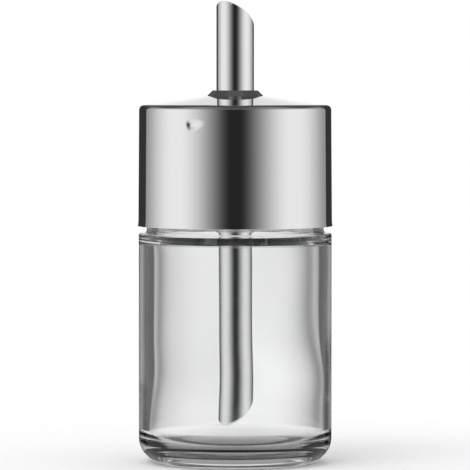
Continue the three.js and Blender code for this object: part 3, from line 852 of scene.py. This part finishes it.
def flap_mesh(sizes):
    """An oval plate with a narrow tongue whose end is rolled round the pin."""
    half_tongue = sizes.tongue_width / 2
    step = sizes.pin_along + sizes.tongue_length
    top = -sizes.flap_recess
    bottom = top - sizes.flap_thickness
    plate = bmesh.new()
    bmesh.ops.create_circle(plate, cap_ends=True, segments=OVAL_STEPS, radius=1)
    bmesh.ops.transform(plate, verts=plate.verts[:], matrix=Matrix.Rotation(math.pi / 2, 4, "X")
                        @ Matrix.Diagonal((sizes.flap_length / 2, sizes.flap_width / 2, 1, 1)))
    bmesh.ops.translate(plate, verts=plate.verts[:], vec=(sizes.flap_middle, 0, 0))
    sliced(plate, (step, 0, 0), (1, 0, 0), clear_inner=True)
    extruded(plate, sizes.flap_thickness, PLATE_EDGE)
    bmesh.ops.transform(plate, verts=plate.verts[:], matrix=Matrix.Translation(
        (0, 0, top - sizes.flap_thickness / 2)) @ Matrix.Rotation(math.pi / 2, 4, "X"))
    end = step + TONGUE_OVERLAP
    tongue = extruded(profile([
        (sizes.pin_along, bottom, 0), (end, bottom + TONGUE_INSET, 0), (end, top - TONGUE_INSET, 0),
        (sizes.pin_along, top, 0),
    ]), sizes.tongue_width, SHEET_EDGE)
    bore, outside = sizes.pin_radius + RUNNING_GAP, sizes.pin_below - sizes.flap_recess
    knuckle = hinge_bar(sizes, [
        (bore, -half_tongue, BORE_EDGE), (outside, -half_tongue, SHEET_EDGE),
        (outside, half_tongue, SHEET_EDGE), (bore, half_tongue, BORE_EDGE),
    ])
    return joined([plate, tongue, knuckle])


# Places of the bracket's outline before and behind the pin, and below the mouth's edge
EAR_REACH = 0.85 * MM
EAR_FRONT = 0.81 * MM
EAR_TOP = 0.15 * MM
TOE_REACH = 2.4 * MM
TOE_HEIGHT = 0.6 * MM
# Gap beside the tongue
EAR_GAP = 0.06 * MM
# The bracket's floor: its thickness and reach, what keeps its faces off the ears', and its cuts at the bore
SEAT_SHEET = 0.8 * MM
SEAT_EDGE = 0.2 * MM
SEAT_LIFT = 0.01 * MM
SEAT_OVERLAP = 0.1 * MM
SEAT_BACK_SHARE = 0.45
SEAT_CUTS = range(-3, 4)
SEAT_CUT_PITCH = 0.4 * MM


def bracket_mesh(sizes, bore, slope):
    """Two ears on a floor that lies against the bore; the toes in front of the pin stop the flap."""
    pin, low = sizes.pin_along, -sizes.bracket_depth
    low_back, high_back = (
        (depth * math.sin(slope) - bore) / math.cos(slope) for depth in (sizes.bracket_depth, sizes.pin_below))
    toe, toe_top = pin + TOE_REACH, -sizes.flap_recess - sizes.flap_thickness - RUNNING_GAP
    inside = sizes.tongue_width / 2 + EAR_GAP
    parts = []
    for side in (-1, 1):
        ear = extruded(profile([
            (low_back, low, 0), (pin + EAR_REACH, low, 0.3 * MM), (toe, toe_top - TOE_HEIGHT, 0.2 * MM),
            (toe, toe_top, 0.15 * MM), (pin + EAR_FRONT, toe_top, 0.1 * MM), (pin + EAR_FRONT, -EAR_TOP, 0.5 * MM),
            (pin - EAR_REACH, -EAR_TOP, 0.7 * MM), (pin - EAR_REACH, -sizes.pin_below, 0),
            (high_back, -sizes.pin_below, 0),
        ]), sizes.ear_thickness, SHEET_EDGE)
        bmesh.ops.translate(ear, verts=ear.verts[:], vec=(0, side * (inside + sizes.ear_thickness / 2), 0))
        parts.append(ear)
    front, back = pin + SEAT_SHEET, low_back + (high_back - low_back) * SEAT_BACK_SHARE
    parts.append(extruded(profile([
        (low_back, low + SEAT_LIFT, 0), (front, low + SEAT_LIFT, SEAT_EDGE),
        (front, low + SEAT_SHEET, SEAT_EDGE), (back, low + SEAT_SHEET, 0),
    ]), 2 * inside + SEAT_OVERLAP, 0))
    bm = joined(parts)
    for number in SEAT_CUTS:
        sliced(bm, (0, number * SEAT_CUT_PITCH, 0), (0, 1, 0))
    return bm


def in_mouth(bm, sizes):
    """Takes a mesh from the mouth's own frame, with X down its slope, to its place."""
    turn = Matrix.Rotation(sizes.mouth_azimuth, 4, "Z") @ Matrix.Rotation(sizes.mouth_slope, 4, "Y")
    bmesh.ops.transform(bm, verts=bm.verts[:], matrix=Matrix.Translation((0, 0, sizes.mouth_height)) @ turn)
    return bm


class DISPENSER_OT_flap(bpy.types.Operator):
    """Build the flap with its hinge pin and the bracket that carries it in the mouth"""

    bl_idname = "dispenser.flap"
    bl_label = "Flap, Pin and Bracket"

    def execute(self, context):
        sizes, tube = context.scene.dispenser_flap, context.scene.dispenser_lid
        piece(in_mouth(flap_mesh(sizes), tube), "hinged_flap", "flap", "flap", "polished_steel")
        end = sizes.pin_length / 2
        pin = hinge_bar(sizes, [(0, -end, 0), (sizes.pin_radius, -end, PIN_EDGE),
                                (sizes.pin_radius, end, PIN_EDGE), (0, end, 0)])
        piece(in_mouth(pin, tube), "hinge_pin", "flap_pin", "lid", "plain_steel")
        limit = tube.spout_radius - tube.tube_wall - RUNNING_GAP
        bracket = in_mouth(bracket_mesh(sizes, limit, tube.mouth_slope), tube)
        for vert in bracket.verts:
            vert.co.xy *= min(1, limit / math.hypot(vert.co.x, vert.co.y))
        bmesh.ops.remove_doubles(bracket, verts=bracket.verts[:], dist=MERGE)
        piece(bracket, "hinge_bracket", "flap_bracket", "lid", "plain_steel")
        return {"FINISHED"}


class DISPENSER_OT_stage(bpy.types.Operator):
    """Build the pale floor, the soft studio light and the camera"""

    bl_idname = "dispenser.stage"
    bl_label = "Stage"

    def execute(self, context):
        build_floor()
        build_studio(context.scene)
        build_camera(context.scene)
        return {"FINISHED"}


FLOOR_RADIUS = 0.5
# Distances from the axis over which the floor fades into the white, and its painted shade under the jar into the
# floor
FLOOR_FADE = (0.05, 0.2)
FOOTPRINT = (0.028, 0.045)
# Level of the floor under the jar for mirrored light: a painted contact shadow
PAINTED_SHADOW_UNDER_JAR = 0.8


def build_floor():
    """A pale matt floor, with painted shade under the jar for mirrored light, that fades into the white away from
    the object.
    """
    bm = bmesh.new()
    bmesh.ops.create_circle(bm, cap_ends=True, segments=OVAL_STEPS, radius=FLOOR_RADIUS)
    material, graph, point = new_material("pale_floor")
    reach = graph.add("VectorMath", {"operation": "LENGTH"}, {0: point}, output=1)
    mirrored, entered = graph.path("Glossy Depth", "Transmission Depth")
    # Painted shadow: for mirrored rays the floor's colour is darker under the jar, as a contact shadow would be
    under = graph.between(1.0, PAINTED_SHADOW_UNDER_JAR, mirrored)
    floor_share_with_painted_shadow = graph.between(under, 1.0, graph.smooth(reach, *FOOTPRINT))
    matt = graph.add("BsdfDiffuse", values={"Color": graph.blend(floor_share_with_painted_shadow, BLACK, paint("floor"))})
    clear = graph.add("BsdfTransparent")
    # Polished steel mirrors the studio and not the floor; the glass shows the floor
    hidden = graph.between(graph.smooth(reach, *FLOOR_FADE), 1.0, mirrored * (1 - entered))
    graph.finish("Material", graph.add("MixShader", values={0: hidden, 1: matt, 2: clear}))
    floor = placed(bm, "floor", material)


# Angles are in degrees: round the object, from 0 at the camera's side to 180 behind, or above the horizon.
BEHIND = 180
# The softbox that the steel mirrors at each side: its brightness in front, when full and at its end, and the
# angles over which it rises and falls
FRONT_LEVEL = 0.02
BOX_LEVEL = 0.9
BOX_END_LEVEL = 0.3
BOX_RISE = (5, 70)
BOX_FALL = (80, 140)
BOX_TOP = (15, 40)
# What shows through the glass at each side: the lit side and its end, then a pale strip with a dark line in it
SPILL_LEVEL = 0.9
SPILL_END_LEVEL = 0.15
SPILL_FALL = (80, 143)
STRIP_LEVEL = 0.5
STRIP_EDGE = (143, 147)
LEFT_LINE = 160
RIGHT_LINE = 166
LINE_REACH = 10
LINE_DEPTH = 0.25
# What the glass mirrors inside its wall
GLOW_LEVEL = 0.1
GLOW_BEHIND = 0.5
GLOW_RISE = (150, 172)
# The backdrop's fading by height, and its top edge
BACKDROP_FADE = 0.25
BACKDROP_FADING = (5, 17)
BACKDROP_TOP = (17, 21)
# Brightness of the screens, the sky, what shows high through the glass and high inside it, and the table
SCREEN_LEVEL = 0.035
SKY_LEVEL = 0.06
HIGH_LEVEL = 0.13
INSIDE_LEVEL = 0.3
TABLE_LEVEL = 0.85
# Brightness of the mirrored table, and how much of the softboxes it adds
MIRRORED_TABLE = 0.4
MIRRORED_BOXES = 0.5
# Brightness of the studio for matt surfaces
PLAIN_LEVEL = 0.9
# How much of the softboxes the sky adds in front and behind, and how much brighter it is low in front
SKY_SHARE = 0.22
BACK_SKY_SHARE = 0.04
FRONT_SKY = 0.06
# Where the screens and the backdrop begin, how much wider the screens are inside glass, and their soft edges
LEFT_SCREEN = 133.5
RIGHT_SCREEN = 138
BACKDROP = 173.5
SCREEN_WIDENED = 5
SCREEN_EDGE = (-0.5, 0.5)
BACKDROP_EDGE = (-1.0, 1.0)
# Width of the passage from the left side to the right
MIDDLE = (-0.001, 0.001)
# Angles above the horizon, and then round the object, over which levels pass into each other
TABLE_RISE = (-25, -8)
INSIDE_RISE = (8, 20)
HIGH_RISE = (12, 30)
FRONT_SKY_RISE = (22, 30)
FRONT_SKY_FALL = (45, 60)
ZENITH = (60, 82)
FRONT_SKY_TURN = (50, 95)
BACK_SKY_TURN = (80, 110)


def spill(graph, around, line):
    """What shows through the glass at one side: the lit side, a pale strip with a dark line, then the white."""
    side = graph.between(SPILL_LEVEL, SPILL_END_LEVEL, graph.smooth(around, *SPILL_FALL))
    strip = graph.between(side, STRIP_LEVEL, graph.smooth(around, *STRIP_EDGE))
    dark = (1 - graph.smooth(abs(around - line), 0, LINE_REACH)) * LINE_DEPTH
    white = (around - line).math("MAXIMUM", 0) / (BEHIND - line)
    return graph.between(strip - dark, 1.0, white * white)


def build_studio(scene):
    """A studio round the object: softboxes at both sides, dark screens behind them, a white backdrop between."""
    world = bpy.data.worlds.new("studio")
    scene.world = world
    world.use_nodes = True
    world.cycles.sampling_method = "NONE"
    graph = Graph(world.node_tree)
    x, y, z = graph.split(graph.add("TexCoord"))
    around = abs(x).math("ARCTAN2", 0 - y) * (180 / math.pi)
    above = z.math("ARCSINE") * (180 / math.pi)
    height = 1 - graph.smooth(above, *BOX_TOP)
    faded = 1 - graph.smooth(above, *BACKDROP_FADING) * BACKDROP_FADE
    backdrop_height = faded * (1 - graph.smooth(above, *BACKDROP_TOP))
    rising = graph.between(FRONT_LEVEL, BOX_LEVEL, graph.smooth(around, *BOX_RISE))
    boxes = graph.between(rising, BOX_END_LEVEL, graph.smooth(around, *BOX_FALL))
    glow = graph.between(GLOW_LEVEL, GLOW_BEHIND, graph.smooth(around, *GLOW_RISE))
    seen, matt, mirrored, entered = graph.path(
        "Is Camera Ray", "Diffuse Depth", "Glossy Depth", "Transmission Depth")
    right = graph.smooth(x, *MIDDLE)
    edge = graph.between(LEFT_SCREEN, RIGHT_SCREEN, right) - entered * SCREEN_WIDENED
    screened = graph.smooth(around - edge, *SCREEN_EDGE)
    backdrop = graph.smooth(around - BACKDROP, *BACKDROP_EDGE) * backdrop_height
    front_sky = ((1 - graph.smooth(around, *FRONT_SKY_TURN)) * graph.smooth(above, *FRONT_SKY_RISE)
                 * (1 - graph.smooth(above, *FRONT_SKY_FALL)))
    behind = graph.smooth(around, *BACK_SKY_TURN).math("MAXIMUM", graph.smooth(above, *ZENITH))
    sky = SKY_LEVEL + boxes * graph.between(SKY_SHARE, BACK_SKY_SHARE, behind) + front_sky * FRONT_SKY
    lit = graph.between(sky, boxes, height)
    outside = graph.between(graph.between(lit, SCREEN_LEVEL, screened * height), 1.0, backdrop)
    inside = graph.between(graph.between(lit, glow, screened), INSIDE_LEVEL, graph.smooth(above, *INSIDE_RISE))
    low = graph.between(spill(graph, around, LEFT_LINE), spill(graph, around, RIGHT_LINE), right)
    through = graph.between(low, HIGH_LEVEL, graph.smooth(above, *HIGH_RISE))
    room = graph.between(through, graph.between(outside, inside, entered), mirrored)
    table = graph.between(TABLE_LEVEL, MIRRORED_TABLE + MIRRORED_BOXES * boxes, mirrored)
    bent = graph.between(table, room, graph.smooth(above, *TABLE_RISE))
    level = graph.between(graph.between(bent, PLAIN_LEVEL, matt), 1.0, seen)
    graph.finish("World", graph.add("Background", values={"Strength": level, "Color": (1, 1, 1, 1)}))
    build_lamp(scene)


LAMP_SIZE = 0.8
LAMP_POWER = 3.0
LAMP_PLACE = Vector((-0.5, -0.6, 0.9))
LAMP_TARGET = Vector((0, 0, 0.07))


def build_lamp(scene):
    """A soft lamp for the matt surfaces and the floor's shadow, which steel and glass don't show."""
    lamp = bpy.data.lights.new("soft_key", "AREA")
    lamp.size = LAMP_SIZE
    lamp.energy = LAMP_POWER
    key = bpy.data.objects.new("soft_key", lamp)
    key.location = LAMP_PLACE
    key.rotation_euler = (LAMP_TARGET - LAMP_PLACE).to_track_quat("-Z", "Y").to_euler()
    key.visible_glossy = False
    key.visible_transmission = False
    key.visible_camera = False
    scene.collection.objects.link(key)


# The camera's lens and sensor in millimetres, its place, and its tilt from straight down
LENS = 311.9
SENSOR = 36
CAMERA_PLACE = (-0.00006, -1.303, 0.12685)
CAMERA_TILT = math.radians(87.6304)
# Bounces that light needs to leave the thick glass and the mirrors round it
BOUNCES = 64
MIRROR_BOUNCES = 40


def build_camera(scene):
    """The camera at the photograph's place, with bounces enough for the glass."""
    data = bpy.data.cameras.new("camera")
    data.sensor_width = SENSOR
    data.lens = LENS
    camera = bpy.data.objects.new("camera", data)
    camera.location = CAMERA_PLACE
    camera.rotation_euler = (CAMERA_TILT, 0, 0)
    scene.collection.objects.link(camera)
    scene.camera = camera
    scene.view_settings.view_transform = "Standard"
    scene.cycles.max_bounces = BOUNCES
    scene.cycles.transmission_bounces = BOUNCES
    scene.cycles.glossy_bounces = MIRROR_BOUNCES


class DISPENSER_PT_pieces(bpy.types.Panel):
    """Lists the pieces that can be built"""

    bl_label = "Sugar Dispenser"
    bl_idname = "DISPENSER_PT_pieces"
    bl_space_type = "VIEW_3D"
    bl_region_type = "UI"
    bl_category = "Dispenser"

    def draw(self, context):
        for operator in OPERATORS:
            self.layout.operator(operator.bl_idname)


GROUPS = {"dispenser_jar": JarSizes, "dispenser_lid": LidSizes, "dispenser_flap": FlapSizes,
          "dispenser_colours": Colours}
OPERATORS = (DISPENSER_OT_jar, DISPENSER_OT_lid, DISPENSER_OT_tubes, DISPENSER_OT_ferrule, DISPENSER_OT_seals,
             DISPENSER_OT_flap, DISPENSER_OT_stage)


def register():
    for cls in (*GROUPS.values(), *OPERATORS, DISPENSER_PT_pieces):
        bpy.utils.register_class(cls)
    for name, group in GROUPS.items():
        setattr(bpy.types.Scene, name, PointerProperty(type=group))


def unregister():
    for name in GROUPS:
        delattr(bpy.types.Scene, name)
    for cls in (DISPENSER_PT_pieces, *reversed(OPERATORS), *GROUPS.values()):
        bpy.utils.unregister_class(cls)


def main():
    """Registers the add-on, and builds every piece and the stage."""
    register()
    for operator in OPERATORS:
        group, name = operator.bl_idname.split(".")
        getattr(getattr(bpy.ops, group), name)()


if __name__ == "__main__":
    main()
